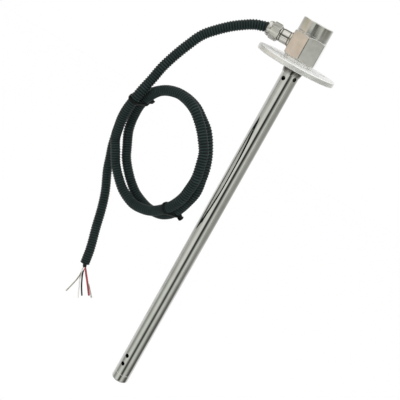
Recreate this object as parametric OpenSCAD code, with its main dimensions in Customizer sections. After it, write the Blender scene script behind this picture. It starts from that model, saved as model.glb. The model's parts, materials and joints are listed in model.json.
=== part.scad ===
// Capacitive fuel level sender: steel probe tube, round mounting flange,
// hexagonal housing with a turned cap, cable gland and a cable in split conduit.
// +Z runs up the probe, the origin is the centre of the flange's underside,
// and the gland points along -X.

/* [Probe] */
// Outside diameter of the outer tube
tube_od = 16; // [14:0.5:18]
// Wall of the outer tube
tube_wall = 1; // [0.8:0.1:1.4]
// Length from the flange's underside to the tip
probe_len = 336; // [200:1:600]
// Length of the ring at the tip
tip_ring_len = 8; // [6:0.5:12]
// Rounding at the tip's outer edge
tip_round = 1.6; // [0.4:0.2:2.4]
// Wall of the ring at the tip
tip_ring_wall = 2; // [1.6:0.1:2.6]
// Depth of the ring's spigot inside the tube
tip_spigot = 4; // [3:0.5:6]
// Diameter of the inner electrode
electrode_d = 8; // [6:0.5:9]
// Wall of the inner electrode
electrode_wall = 0.8; // [0.5:0.1:1.2]
// Thickness of the electrode's end plates
electrode_end = 3; // [2:0.5:5]

/* [Fuel holes] */
// Diameter of the fuel inlets near the tip
inlet_d = 4; // [3:0.5:5]
// Height of the lower inlet above the tip
inlet_rise = 18.5; // [16:0.5:30]
// Distance between the two inlets
inlet_pitch = 9; // [7:0.5:14]
// Diameter of the vents below the flange
vent_d = 4; // [3:0.5:5]
// Depth of the front vent below the flange
vent_drop = 12; // [11.5:0.5:20]
// Height of the side vent above the front vent
side_vent_rise = 3; // [0:0.5:3.5]
// Turn of the inlets and of the front vent from the front face
hole_turn = 26; // [0:1:60]
// Turn from the front vent to the side vent
side_vent_turn = 73; // [60:1:110]

/* [Mounting flange] */
// Outside diameter of the flange
flange_od = 73; // [68:1:90]
// Thickness of the flange
flange_t = 4.5; // [3:0.5:6]
// Broken edge round the flange
flange_edge = 0.5; // [0.2:0.1:0.8]
// Diameter of the bolt circle
bolt_circle_d = 54; // [50:1:58]
// Diameter of the bolt holes
bolt_hole_d = 5.5; // [4:0.5:6.5]
// Number of bolt holes
bolt_count = 5; // [4:1:6]
// Turn of the first bolt hole from the gland's side
bolt_turn = -5; // [-30:1:30]
// How far the tube collar stands out from the tube at the flange
collar_flare = 1.5; // [1:0.1:3]
// Length of the tube collar
collar_len = 7; // [4:0.5:8]
// Depth of the collar's seat in the flange's underside
collar_seat = 0.8; // [0.5:0.1:1.2]
// Wall of the tube collar at its lower end
collar_lip = 0.4; // [0.3:0.1:0.8]

/* [Housing] */
// Width of the hexagon across its flats
hex_af = 28.5; // [27.5:0.5:31]
// Height of the hexagonal part with its chamfers
hex_h = 24; // [23.5:0.5:34]
// Height of the turned band above the upper chamfer
turned_band_h = 1.3; // [0.6:0.1:2]
// Angle of the chamfers on the hexagon
hex_chamfer_angle = 30; // [20:1:35]
// Diameter of the round shoulder under the hexagon
shoulder_d = 27; // [26:0.1:27.4]
// Height of the shoulder
shoulder_h = 2.4; // [1:0.1:4]
// Diameter of the chamber in the housing
chamber_d = 22; // [20:0.5:23]
// Thickness of the chamber's floor above the flange
chamber_floor = 5; // [4:0.5:6]
// Height of the gland's axis above the flange
port_rise = 14; // [13:0.5:18]

/* [Cap] */
// Diameter of the cap
cap_d = 28.2; // [27:0.1:28.4]
// Height of the cap above the hexagon
cap_h = 11.2; // [7:0.1:14]
// Thickness of the cap's top
cap_top_t = 2.5; // [1.5:0.1:4]
// Wall of the cap's spigot
cap_wall = 2; // [1.5:0.1:3]
// Depth of the cap's spigot in the chamber
cap_spigot = 2.5; // [1.5:0.1:3]
// Broken edge at the cap's top
cap_edge = 0.6; // [0.2:0.1:1]
// Thickness of the seal under the cap
cap_seal_t = 0.5; // [0.3:0.1:0.8]
// Width of the seal under the cap
cap_seal_w = 1.2; // [0.8:0.1:1.6]

/* [Cable gland] */
// Diameter of the gland's thread in the housing
gland_thread_d = 8; // [7:0.5:9]
// Diameter of the gland's round body
gland_body_d = 12.5; // [11.5:0.1:13]
// Length of the gland's body outside the seal
gland_body_len = 9.2; // [7:0.1:10]
// Width of the groove beside the nut
gland_groove_w = 1.2; // [0.5:0.1:1.6]
// Depth of the groove beside the nut
gland_groove_depth = 0.4; // [0.2:0.1:0.8]
// Length of the collar between the groove and the nut
gland_collar_len = 0.9; // [0.6:0.1:1.4]
// Diameter of the seal at the housing
gland_seal_d = 13.4; // [12:0.1:14]
// Thickness of the seal at the housing
gland_seal_t = 1.8; // [1:0.1:2]
// Width of the nut across its flats
gland_nut_af = 14; // [13.8:0.1:16]
// Length of the nut
gland_nut_len = 12; // [11:0.1:15]
// Length of the nut's domed end
gland_dome_len = 3.6; // [3:0.1:5]
// Diameter of the domed end beside the hexagon
gland_dome_d = 13.6; // [13:0.1:13.8]
// Wall of the domed end at its mouth
gland_lip = 0.6; // [0.4:0.1:0.8]
// Length of the chamfers on the nut
gland_nut_chamfer = 1; // [0.6:0.1:1.4]

/* [Inside the housing] */
// Diameter of the stud on top of the electrode
stud_d = 4; // [3:0.5:5]
// Height of the stud above the chamber's floor
stud_rise = 5; // [4.5:0.1:6]
// Diameter of the insulating bush's neck
bush_neck_d = 10; // [8:0.5:12]
// Length of the insulating bush inside the tube
bush_len = 16; // [14:0.5:24]
// Diameter of the washer under the stud nut
washer_d = 9; // [8.5:0.5:11]
// Thickness of the washer under the stud nut
washer_t = 0.8; // [0.5:0.1:1.2]
// Width of the stud nut across its flats
stud_nut_af = 7; // [6.5:0.5:8]
// Height of the stud nut
stud_nut_h = 3.2; // [2.5:0.1:3.6]
// Thickness of the circuit board
board_t = 1.6; // [1:0.1:2]
// Height of the circuit board above the chamber's floor
board_rise = 14; // [13:0.5:16]
// Diameter of the pillars under the board
pillar_d = 2.5; // [2:0.1:3]
// Diameter of the circle on which the pillars stand
pillar_circle_d = 16.5; // [15:0.5:17]
// Diameter of the pin between the stud and the board
pin_d = 1.2; // [0.8:0.1:2]
// Diameter of the cable
cable_d = 3.8; // [3.7:0.1:4.4]
// Length of the spacers between the electrode and the tube
spacer_len = 4; // [4:0.5:10]
// Width of the fuel slots in the spacers
spacer_slot = 3.5; // [2:0.5:4]
// Depth of the electrode's seat in the tip spacer
tip_seat = 2.5; // [2:0.5:3]

/* [Conduit] */
// Outside diameter of the conduit
conduit_d = 9.4; // [7:0.1:9.6]
// Width of a cable tie's band
tie_w = 2.6; // [1.8:0.1:4]
// Thickness of a cable tie's band
tie_t = 1.1; // [0.8:0.1:1.5]
// Length of a cable tie's cut tail
tie_tail = 1.5; // [0.5:0.5:6]
// Edge length of a cable tie's head
tie_head = 4.4; // [3.5:0.1:5]
// Diameter of the insulated wires
wire_d = 1.4; // [1:0.1:1.5]
// Diameter of the bare screen wire
screen_d = 0.9; // [0.6:0.1:1.2]

/* [Fits] */
// Gap round a piece that is pressed or screwed into another
press_gap = 0.05; // [0.03:0.01:0.1]
// Gap round a piece that slides into another
slide_gap = 0.1; // [0.05:0.01:0.15]
// Gap between the conduit and the gland
conduit_gap = 0.5; // [0.4:0.05:0.6]
// Gap between the cable and the gland
cable_gap = 0.3; // [0.1:0.05:0.4]
// Gap between the conduit and a cable tie
tie_gap = 0.6; // [0.3:0.1:0.8]
// Gap between the circuit board and the housing
board_gap = 1; // [0.5:0.1:1.4]

/* [Hidden] */
$fn = 72;

tube_id = tube_od - 2 * tube_wall;
tube_foot = tip_ring_len - probe_len;
collar_d = tube_od + 2 * collar_flare;
tip_bore_d = tube_id - 2 * tip_ring_wall + 2 * tube_wall;
chamber_z = flange_t + chamber_floor;
hex_z = flange_t + shoulder_h;
hex_top = hex_z + hex_h;
hex_corner_r = hex_af / 2 / cos(30);
port_z = flange_t + port_rise;
cap_top = hex_top + cap_h;
bush_foot = flange_t - bush_len;
electrode_foot = tube_foot + tip_spigot + spacer_len - tip_seat;
board_z = chamber_z + board_rise;
board_d = chamber_d - 2 * board_gap;
stud_top = chamber_z + stud_rise;
body_x = hex_af / 2 + gland_seal_t;
nut_x = body_x + gland_body_len;
sleeve_x = 31;
gland_bore_d = cable_d + 2 * cable_gap;
mouth_d = conduit_d + 2 * conduit_gap;
tie_bore_d = conduit_d + 2 * tie_gap;

// The conduit's centreline, from the gland round both turns to its cut end
route = [[-31, 0, 18.5], [-34, 0, 18.5], [-38, 0, 18.2], [-42, 0, 17], [-48, 0, 15], [-55, 0, 11],
    [-65, -1, 4], [-75, -2, -5], [-84, -3, -15], [-90, -5, -27], [-96, -6, -41], [-101, -8, -56],
    [-104, -8, -69], [-107, -9, -81], [-110, -8, -94], [-113, -4, -109], [-113, 0, -123], [-112, 5, -136],
    [-107, 6, -146], [-101, 6, -157], [-93, 5, -166], [-82, 1, -174], [-68, -5, -178], [-57, -11, -176],
    [-48, -16, -172], [-40, -22, -165], [-32, -29, -155], [-26, -35, -142], [-24, -38, -131],
    [-23, -41, -119], [-25, -42, -107], [-28, -42, -96], [-34, -41, -87], [-41, -39, -79],
    [-54, -35, -69], [-69, -26, -66], [-80, -19, -68], [-90, -12, -73], [-97, -5, -80], [-103, 1, -90],
    [-106, 5, -99], [-107, 8, -108], [-107, 10, -116], [-105, 11, -127], [-101, 13, -138],
    [-96, 13, -149], [-89, 12, -158], [-81, 11, -166], [-72, 8, -172], [-62, 4, -175], [-53, 0, -176],
    [-41, -7, -173], [-32, -14, -166], [-26, -19, -157], [-22, -23, -146], [-19, -27, -133],
    [-20, -30, -120], [-22, -31, -108], [-27, -31, -95], [-36, -28, -82], [-46, -24, -75],
    [-55, -20, -70], [-67, -13, -68], [-79, -7, -69], [-91, 1, -74], [-103, 11, -84], [-111, 16, -94],
    [-118, 24, -107], [-121, 30, -122], [-120, 33, -136], [-118, 34, -150], [-115, 35, -162],
    [-111, 34, -175], [-103, 32, -193], [-98, 31, -210], [-94, 30, -229], [-89, 28, -249],
    [-87, 28, -265]];
jacket_route = [[-87, 28, -265], [-86.5, 28, -269]];

// A point on a line parallel to the jacket's end, a and b across it and c beyond its cut face
function off_jacket(a, b, c) =
    let (t = unit(jacket_route[1] - jacket_route[0]), u = cross([0, 1, 0], t))
    jacket_route[1] + a * u + [0, b, 0] + c * t;
function wire_route(a, b, points) = concat([off_jacket(a, b, 0), off_jacket(a, b, 2)], points);
red_route = wire_route(-0.7, -0.4, [[-82.5, 27, -273], [-79.5, 27, -276], [-76.5, 27, -280],
    [-72.5, 26, -285], [-66.5, 26, -292]]);
black_route = wire_route(0.7, -0.4, [[-83.5, 26, -277], [-81.5, 26, -281], [-78.5, 25, -288],
    [-74.5, 25, -295]]);
white_route = wire_route(-0.1, 0.9, [[-85.5, 31, -275], [-86.5, 32, -279], [-84.5, 32, -286],
    [-80.5, 32, -294], [-77.5, 32, -301]]);
screen_route = wire_route(1.1, 0.9, [[-86.5, 29, -274], [-86.5, 29, -279], [-87.5, 29, -287],
    [-89.5, 30, -294], [-91.5, 30, -302]]);

function unit(v) = v / norm(v);
function heading(p, i) = unit(p[min(i + 1, len(p) - 1)] - p[max(i - 1, 0)]);
// One ring of the swept tube, square to the route at point i
function ring(p, i, r, n) =
    let (t = heading(p, i), u = unit(cross(t, [0, 1, 0.02])), v = cross(t, u))
    [for (k = [0:n - 1]) p[i] + r * (cos(360 * k / n) * u + sin(360 * k / n) * v)];

module sweep(p, d, n) {
    m = len(p);
    points = [for (i = [0:m - 1]) each ring(p, i, d / 2, n)];
    sides = [for (i = [0:m - 2], k = [0:n - 1])
        [i * n + k, i * n + (k + 1) % n, (i + 1) * n + (k + 1) % n, (i + 1) * n + k]];
    first = [for (k = [0:n - 1]) n - 1 - k];
    last = [for (k = [0:n - 1]) (m - 1) * n + k];
    polyhedron(points = points, faces = concat(sides, [first, last]), convexity = 8);
}

module ring_solid(d_out, d_in, h) {
    difference() {
        cylinder(d = d_out, h = h);
        translate([0, 0, -1]) cylinder(d = d_in, h = h + 2);
    }
}

module hexagon(af, h) {
    rotate([0, 0, 30]) cylinder(d = af / cos(30), h = h, $fn = 6);
}

module along_gland(x) {
    translate([-x, 0, port_z]) rotate([0, -90, 0]) children();
}

module cross_drill(turn, z, d) {
    translate([0, 0, z]) rotate([0, 0, -90 - turn]) rotate([0, 90, 0])
        cylinder(d = d, h = 2 * tube_od, center = true, $fn = 40);
}

module mounting_flange() {
    bore_r = tube_od / 2 + press_gap;
    color("Gainsboro") difference() {
        rotate_extrude($fn = 144) polygon([[bore_r, collar_seat], [collar_d / 2 + press_gap, collar_seat],
            [collar_d / 2 + press_gap, 0], [flange_od / 2 - flange_edge, 0], [flange_od / 2, flange_edge],
            [flange_od / 2, flange_t - flange_edge], [flange_od / 2 - flange_edge, flange_t], [bore_r, flange_t]]);
        for (i = [0:bolt_count - 1])
            rotate([0, 0, 180 + bolt_turn + i * 360 / bolt_count])
                translate([bolt_circle_d / 2, 0, -1]) cylinder(d = bolt_hole_d, h = flange_t + 2, $fn = 48);
    }
}

module tube_collar() {
    color("Silver") rotate_extrude() polygon([[tube_od / 2 + press_gap, collar_seat],
        [tube_od / 2 + press_gap, -collar_len], [tube_od / 2 + collar_lip, -collar_len], [collar_d / 2, 0],
        [collar_d / 2, collar_seat]]);
}

module outer_tube() {
    color("LightGray") difference() {
        translate([0, 0, tube_foot]) ring_solid(tube_od, tube_id, flange_t - tube_foot);
        cross_drill(hole_turn, inlet_rise - probe_len, inlet_d);
        cross_drill(hole_turn, inlet_rise + inlet_pitch - probe_len, inlet_d);
        cross_drill(hole_turn, -vent_drop, vent_d);
        cross_drill(hole_turn - side_vent_turn, side_vent_rise - vent_drop, vent_d);
    }
}

module tip_ring() {
    r = tube_od / 2;
    color("LightGray") rotate_extrude() polygon(concat(
        [for (a = [0:15:90]) [r - tip_round + tip_round * sin(a), tip_round - tip_round * cos(a) - probe_len]],
        [[r, tube_foot], [tube_id / 2 - slide_gap, tube_foot], [tube_id / 2 - slide_gap, tube_foot + tip_spigot],
            [tip_bore_d / 2, tube_foot + tip_spigot], [tip_bore_d / 2, -probe_len]]));
}

// A slotted ring or cup that keeps the electrode in the middle of the tube
module spacer(h, seat) {
    difference() {
        cylinder(d = tube_id - 2 * slide_gap, h = h);
        translate([0, 0, h - seat]) cylinder(d = electrode_d + 2 * slide_gap, h = seat + 1);
        for (a = [0:120:240])
            rotate([0, 0, a + 30]) translate([electrode_d / 2 + 1, -spacer_slot / 2, -1])
                cube([tube_od, spacer_slot, h + 2]);
    }
}

module tip_spacer() {
    color("WhiteSmoke") translate([0, 0, tube_foot + tip_spigot]) spacer(spacer_len, tip_seat);
}

module lower_spacer() {
    color("WhiteSmoke") translate([0, 0, -probe_len * 2 / 3]) spacer(spacer_len, spacer_len + 1);
}

module upper_spacer() {
    color("WhiteSmoke") translate([0, 0, -probe_len / 3]) spacer(spacer_len, spacer_len + 1);
}

module inner_electrode() {
    color("Silver") union() {
        difference() {
            translate([0, 0, electrode_foot]) cylinder(d = electrode_d, h = bush_foot - electrode_foot);
            translate([0, 0, electrode_foot + electrode_end])
                cylinder(d = electrode_d - 2 * electrode_wall,
                    h = bush_foot - electrode_foot - 2 * electrode_end);
        }
        translate([0, 0, bush_foot - 1]) cylinder(d = stud_d, h = stud_top - bush_foot + 1);
    }
}

module feedthrough_bush() {
    color("White") difference() {
        union() {
            translate([0, 0, bush_foot]) cylinder(d = tube_id - 2 * slide_gap, h = bush_len);
            cylinder(d = bush_neck_d, h = chamber_z);
        }
        translate([0, 0, bush_foot - 1]) cylinder(d = stud_d + 2 * press_gap, h = chamber_z - bush_foot + 2);
    }
}

module stud_washer() {
    color("Silver") translate([0, 0, chamber_z]) ring_solid(washer_d, stud_d + 2 * slide_gap, washer_t);
}

module stud_nut() {
    color("DarkGray") translate([0, 0, chamber_z + washer_t]) difference() {
        hexagon(stud_nut_af, stud_nut_h);
        translate([0, 0, -1]) cylinder(d = stud_d + 2 * press_gap, h = stud_nut_h + 2);
    }
}

module contact_pin() {
    color("Goldenrod") translate([0, 0, stud_top]) cylinder(d = pin_d, h = board_z - stud_top);
}

// Turned limits of the hexagon: a chamfer cone at each end and a round band at the top
module hex_envelope() {
    lean = tan(hex_chamfer_angle);
    foot_r = shoulder_d / 2;
    head_r = cap_d / 2;
    out_r = hex_corner_r + 1;
    band_z = hex_top - turned_band_h;
    rotate_extrude($fn = 96) polygon([[0, hex_z], [foot_r, hex_z], [out_r, hex_z + (out_r - foot_r) * lean],
        [out_r, band_z - (out_r - head_r) * lean], [head_r, band_z], [head_r, hex_top], [0, hex_top]]);
}

module hex_housing() {
    color("Silver") difference() {
        union() {
            translate([0, 0, flange_t]) cylinder(d = shoulder_d, h = shoulder_h);
            intersection() {
                translate([0, 0, hex_z]) hexagon(hex_af, hex_h);
                hex_envelope();
            }
        }
        translate([0, 0, flange_t - 1]) cylinder(d = bush_neck_d + 2 * slide_gap, h = chamber_floor + 2);
        translate([0, 0, chamber_z]) cylinder(d = chamber_d, h = hex_top);
        translate([0, 0, hex_top - cap_seal_t])
            ring_solid(chamber_d + 2 * cap_seal_w, chamber_d - 1, cap_seal_t + 1);
        along_gland(0) cylinder(d = gland_thread_d + 2 * press_gap, h = hex_af);
    }
}

module board_pillars() {
    color("Khaki") for (a = [90, 210, 330])
        rotate([0, 0, a]) translate([pillar_circle_d / 2, 0, chamber_z]) cylinder(d = pillar_d, h = board_rise);
}

module circuit_board() {
    color("SeaGreen") translate([0, 0, board_z]) cylinder(d = board_d, h = board_t);
}

module board_components() {
    color("DimGray") translate([0, 0, board_z + board_t]) {
        translate([-5, -5.5, 0]) cube([6, 5, 1.2]);
        translate([3.5, -3, 0]) cube([3.2, 6, 2]);
        translate([-4, 4.5, 0]) cylinder(d = 3.6, h = 1.8);
        translate([-0.5, 2.5, 0]) cube([2, 1.2, 0.8]);
    }
}

module cap_seal() {
    color("Black") translate([0, 0, hex_top - cap_seal_t])
        ring_solid(chamber_d + 2 * cap_seal_w - 2 * slide_gap, chamber_d, cap_seal_t);
}

module housing_cap() {
    r = cap_d / 2;
    spigot_r = chamber_d / 2 - slide_gap;
    color("Silver") rotate_extrude($fn = 96) polygon([[0, cap_top], [r - cap_edge, cap_top], [r, cap_top - cap_edge],
        [r, hex_top], [spigot_r, hex_top], [spigot_r, hex_top - cap_spigot],
        [spigot_r - cap_wall, hex_top - cap_spigot], [spigot_r - cap_wall, cap_top - cap_top_t],
        [0, cap_top - cap_top_t]]);
}

module gland_seal() {
    color("Black") along_gland(hex_af / 2) ring_solid(gland_seal_d, gland_thread_d + 2 * slide_gap, gland_seal_t);
}

module gland_body() {
    inner_x = chamber_d / 2;
    groove_x = nut_x - gland_collar_len - gland_groove_w;
    color("Gainsboro") difference() {
        union() {
            along_gland(inner_x) cylinder(d = gland_thread_d, h = body_x - inner_x + 1);
            along_gland(body_x) cylinder(d = gland_body_d, h = gland_body_len);
            along_gland(nut_x - 1) cylinder(d = conduit_d, h = sleeve_x - nut_x + 1);
        }
        along_gland(inner_x - 1) cylinder(d = gland_bore_d, h = sleeve_x - inner_x + 2);
        along_gland(groove_x)
            ring_solid(gland_body_d + 2, gland_body_d - 2 * gland_groove_depth, gland_groove_w);
    }
}

module gland_nut() {
    corner_r = gland_nut_af / 2 / cos(30);
    mouth_r = mouth_d / 2;
    skirt = gland_nut_len - gland_dome_len;
    lip_r = mouth_r + gland_lip;
    dome_r = gland_dome_d / 2;
    color("Gainsboro") along_gland(nut_x) difference() {
        intersection() {
            cylinder(d = 2 * corner_r, h = gland_nut_len, $fn = 6);
            rotate_extrude() polygon(concat([[0, 0], [dome_r, 0], [corner_r, gland_nut_chamfer],
                [corner_r, skirt - gland_nut_chamfer], [dome_r, skirt]],
                [for (a = [15:15:90]) [lip_r + (dome_r - lip_r) * cos(a), skirt + gland_dome_len * sin(a)]],
                [[0, gland_nut_len]]));
        }
        translate([0, 0, -1]) cylinder(d = mouth_d, h = gland_nut_len + 2);
    }
}

module inner_cable() {
    color("Black") along_gland(chamber_d / 2 - 3) cylinder(d = cable_d, h = sleeve_x - chamber_d / 2 + 3);
}

module conduit() {
    color("DarkSlateGray") sweep(route, conduit_d, 10);
}

module jacket_end() {
    color("Black") sweep(jacket_route, cable_d, 8);
}

module wire_red() {
    color("IndianRed") sweep(red_route, wire_d, 8);
}

module wire_black() {
    color("Black") sweep(black_route, wire_d, 8);
}

module wire_white() {
    color("AntiqueWhite") sweep(white_route, wire_d, 8);
}

module wire_screen() {
    color("DarkGray") sweep(screen_route, screen_d, 8);
}

// The outline of a band of diameter d pulled round the strands
module band_shape(strands, d) {
    hull() for (p = strands) translate(p) circle(d = d, $fn = 48);
}

// A tie round the strands, its head at the last of them, turned about it by head_turn
module tie(strands, head_turn) {
    translate([0, 0, -tie_w / 2]) linear_extrude(tie_w) difference() {
        band_shape(strands, tie_bore_d + 2 * tie_t);
        band_shape(strands, tie_bore_d);
    }
    translate(strands[len(strands) - 1]) rotate([0, 0, head_turn]) {
        translate([tie_bore_d / 2 + tie_t / 2, -tie_head / 2, -tie_head / 2]) cube(tie_head);
        translate([tie_bore_d / 2 + tie_t, tie_head / 2 - 0.5, -tie_w / 2]) cube([tie_t, tie_tail + 0.5, tie_w]);
    }
}

module tie_upper() {
    color("Black") translate([-107, 2, -91]) rotate([18, 18, 0])
        tie([[-2, -10.6], [3.5, 0], [-0.3, 11.3], [0.3, 11.3]], -20);
}

module tie_lower() {
    color("Black") translate([-30.5, -21, -159]) rotate([30, 40, 0]) tie([[-3.6, -6], [2.5, 3.7]], 10);
}

mounting_flange();
tube_collar();
outer_tube();
tip_ring();
tip_spacer();
lower_spacer();
upper_spacer();
inner_electrode();
feedthrough_bush();
stud_washer();
stud_nut();
contact_pin();
hex_housing();
board_pillars();
circuit_board();
board_components();
cap_seal();
housing_cap();
gland_seal();
gland_body();
gland_nut();
inner_cable();
conduit();
jacket_end();
wire_red();
wire_black();
wire_white();
wire_screen();
tie_upper();
tie_lower();
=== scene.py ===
# %% [markdown]
# # A fuel level sender
#
# The real thing is a steel probe that hangs in a fuel tank from a round flange. A hexagonal
# housing on the flange holds its circuit board, and a cable leaves it through a metal gland,
# in a slit ribbed conduit that is tied in a loop. The CAD model gives every rigid form and
# its place. This script adds the finishes, the ribs of the conduit, the wires and the light.
#
# The first cell loads the imported model.

# %% The frame
import json
from math import ceil, copysign, cos, hypot, pi, radians, sin, sqrt

import bmesh
import bpy
from mathutils import Matrix, Vector


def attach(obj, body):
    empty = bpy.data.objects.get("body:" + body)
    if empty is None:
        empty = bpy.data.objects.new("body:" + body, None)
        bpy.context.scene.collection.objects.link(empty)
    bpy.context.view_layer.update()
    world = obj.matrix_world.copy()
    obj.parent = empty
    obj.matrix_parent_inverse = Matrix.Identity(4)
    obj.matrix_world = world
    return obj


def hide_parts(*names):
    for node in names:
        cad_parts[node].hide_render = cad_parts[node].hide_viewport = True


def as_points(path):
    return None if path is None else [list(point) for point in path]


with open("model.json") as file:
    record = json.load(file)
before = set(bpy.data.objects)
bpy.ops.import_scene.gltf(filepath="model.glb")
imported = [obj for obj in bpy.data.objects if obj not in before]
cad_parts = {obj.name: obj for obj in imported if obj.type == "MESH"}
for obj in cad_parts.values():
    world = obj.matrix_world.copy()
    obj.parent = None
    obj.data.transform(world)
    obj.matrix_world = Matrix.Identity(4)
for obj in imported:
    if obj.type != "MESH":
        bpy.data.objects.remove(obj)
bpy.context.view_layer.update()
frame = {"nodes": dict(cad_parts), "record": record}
MM = 0.001

# %% [markdown]
# ## The camera
#
# The photograph shows the probe leaning 29 degrees, with the flange almost edge on and the tip
# seen from a little above. The part itself stands upright here, so the camera is rolled
# instead. Its distance and lens come from the tube: it is 16 mm wide, and it looks wider at the
# flange than at the tip.

# %% Camera
PICTURE = 400
SENSOR_MM = 36
FOCAL_PIXELS = 924.08
AZIMUTH, ELEVATION, ROLL = (radians(a) for a in (6.13, 14.82, 29.14))
FLANGE_PIXEL = (294.7, 67.4)
DISTANCE = 0.794

back = Vector((sin(AZIMUTH) * cos(ELEVATION), -cos(AZIMUTH) * cos(ELEVATION),
               sin(ELEVATION)))
level = Vector((cos(AZIMUTH), sin(AZIMUTH), 0))
upward = back.cross(level)
across = cos(ROLL) * level + sin(ROLL) * upward
along = cos(ROLL) * upward - sin(ROLL) * level
offset_x = (FLANGE_PIXEL[0] - PICTURE / 2) * DISTANCE / FOCAL_PIXELS
offset_y = (PICTURE / 2 - FLANGE_PIXEL[1]) * DISTANCE / FOCAL_PIXELS
eye = DISTANCE * back - offset_x * across - offset_y * along

camera_data = bpy.data.cameras.new("camera")
camera_data.sensor_width = SENSOR_MM
camera_data.lens = FOCAL_PIXELS * SENSOR_MM / PICTURE
camera = bpy.data.objects.new("camera", camera_data)
camera.matrix_world = Matrix.Translation(eye) @ Matrix((across, along, back)).transposed().to_4x4()
bpy.context.scene.collection.objects.link(camera)
bpy.context.scene.camera = camera
print("lens", round(camera_data.lens, 1), "mm, eye", [round(x, 3) for x in eye])

# %% [markdown]
# ## A few small helpers
#
# Colours are written as the sRGB hex values that a colour picker shows, and one function turns
# them linear, which is what a shader works in. One function adds a node with its settings and
# its inputs, and an input may be a value or another node's output. The others put an object in
# the scene, and make a plain mesh of rings of points, or of an object with its modifiers.


# %% Helpers
def linear(hex_colour):
    """An sRGB hex colour as linear red, green, blue and alpha."""
    parts = [int(hex_colour[i:i + 2], 16) / 255 for i in (1, 3, 5)]
    return [*(c / 12.92 if c <= 0.04045 else ((c + 0.055) / 1.055) ** 2.4 for c in parts), 1.0]


def add_node(tree, kind, inputs=None, **settings):
    """Adds a node, sets its settings, and fills its inputs with values or links."""
    node = tree.nodes.new(kind)
    for name, value in settings.items():
        setattr(node, name, value)
    for key, value in (inputs or {}).items():
        if isinstance(value, bpy.types.NodeSocket):
            tree.links.new(value, node.inputs[key])
        else:
            node.inputs[key].default_value = value
    return node


def in_scene(name, data):
    """A new object in the scene, at the origin."""
    item = bpy.data.objects.new(name, data)
    bpy.context.scene.collection.objects.link(item)
    return item


def applied(item):
    """The mesh of an object with its modifiers applied. The object itself goes."""
    bpy.context.view_layer.update()
    final = item.evaluated_get(bpy.context.evaluated_depsgraph_get())
    mesh = bpy.data.meshes.new_from_object(final)
    bpy.data.objects.remove(item)
    return mesh


def mesh_of(shape, sharp_angle=None):
    """The mesh of a bmesh, made smooth but for edges sharper than an angle in degrees."""
    mesh = bpy.data.meshes.new("mesh")
    shape.to_mesh(mesh)
    shape.free()
    if sharp_angle:
        mesh.shade_smooth()
        mesh.set_sharp_from_angle(angle=radians(sharp_angle))
    return mesh


def skin(rings, closed=False, sharp_angle=38):
    """A mesh over rings of points, with its ends capped, or joined when closed."""
    shape = bmesh.new()
    rows = [[shape.verts.new(point) for point in ring] for ring in rings]
    for a, b in zip(rows, rows[1:] + (rows[:1] if closed else [])):
        for k in range(len(a)):
            m = (k + 1) % len(a)
            shape.faces.new((a[k], a[m], b[m], b[k]))
    if not closed:
        shape.faces.new(rows[0][::-1])
        shape.faces.new(rows[-1])
    bmesh.ops.recalc_face_normals(shape, faces=shape.faces)
    return mesh_of(shape, sharp_angle)


# %% [markdown]
# ## Materials
#
# Every finish starts as one shader with a base colour, and gets patterns whose scale is a real
# size: the grain of a drawn tube, the rings that a lathe leaves, the grit of moulded plastic.


# %% Shader maker
def new_finish(name, colour, roughness, metallic=0.0, **sockets):
    """A material with one Principled shader. Returns the material, its tree and the shader."""
    material = bpy.data.materials.new(name)
    material.use_nodes = True
    tree = material.node_tree
    shader = tree.nodes["Principled BSDF"]
    shader.inputs["Base Color"].default_value = linear(colour)
    shader.inputs["Roughness"].default_value = roughness
    shader.inputs["Metallic"].default_value = metallic
    for key, value in sockets.items():
        shader.inputs[key.replace("_", " ")].default_value = value
    return material, tree, shader


def feed(shader, **sockets):
    """Links outputs to the shader's sockets."""
    for key, output in sockets.items():
        shader.id_data.links.new(output, shader.inputs[key.replace("_", " ")])


def place_of(tree, stretch=(1, 1, 1)):
    """Object coordinates, stretched along an axis for a grain."""
    where = add_node(tree, "ShaderNodeTexCoord").outputs["Object"]
    return add_node(tree, "ShaderNodeMapping", {"Vector": where, "Scale": stretch}).outputs[0]


def part_of(tree, vector, axis):
    """One part of a vector: 0 for x, 1 for y, 2 for z."""
    return add_node(tree, "ShaderNodeSeparateXYZ", {0: vector}).outputs[axis]


def calc(tree, operation, *values, **settings):
    """One arithmetic node on values or other nodes' outputs. Returns its result."""
    inputs = dict(enumerate(values))
    return add_node(tree, "ShaderNodeMath", inputs, operation=operation, **settings).outputs[0]


def from_axis(tree, where, across):
    """Distance from an axis, where across is 1 for the two directions square to it."""
    flat = add_node(tree, "ShaderNodeVectorMath", {0: where, 1: across}, operation="MULTIPLY")
    return add_node(tree, "ShaderNodeVectorMath", {0: flat.outputs[0]}, operation="LENGTH").outputs["Value"]


def speckle(tree, vector, size_mm, detail=3.0):
    """Noise whose features are about size_mm across."""
    return add_node(tree, "ShaderNodeTexNoise",
                    {"Vector": vector, "Scale": 1 / (size_mm * MM), "Detail": detail}).outputs[0]


def spread(tree, value, low=0.0, high=1.0, start=0.3, end=0.7):
    """Maps start to end, where the middle of a noise lies, onto low to high."""
    return add_node(tree, "ShaderNodeMapRange", {
        "Value": value, "From Min": start, "From Max": end, "To Min": low, "To Max": high}).outputs[0]


def blend(tree, value, first, second):
    """Blends two colours by a value. Each is a hex colour or another node's output."""
    first, second = (linear(c) if isinstance(c, str) else c for c in (first, second))
    return add_node(tree, "ShaderNodeMix", {0: value, 6: first, 7: second}, data_type="RGBA").outputs[2]


def relief(shader, height, depth_mm, strength=1.0):
    """Bump of a real depth from a height between 0 and 1."""
    bump = add_node(shader.id_data, "ShaderNodeBump", {
        "Height": height, "Distance": depth_mm * MM, "Strength": strength})
    feed(shader, Normal=bump.outputs[0])


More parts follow.
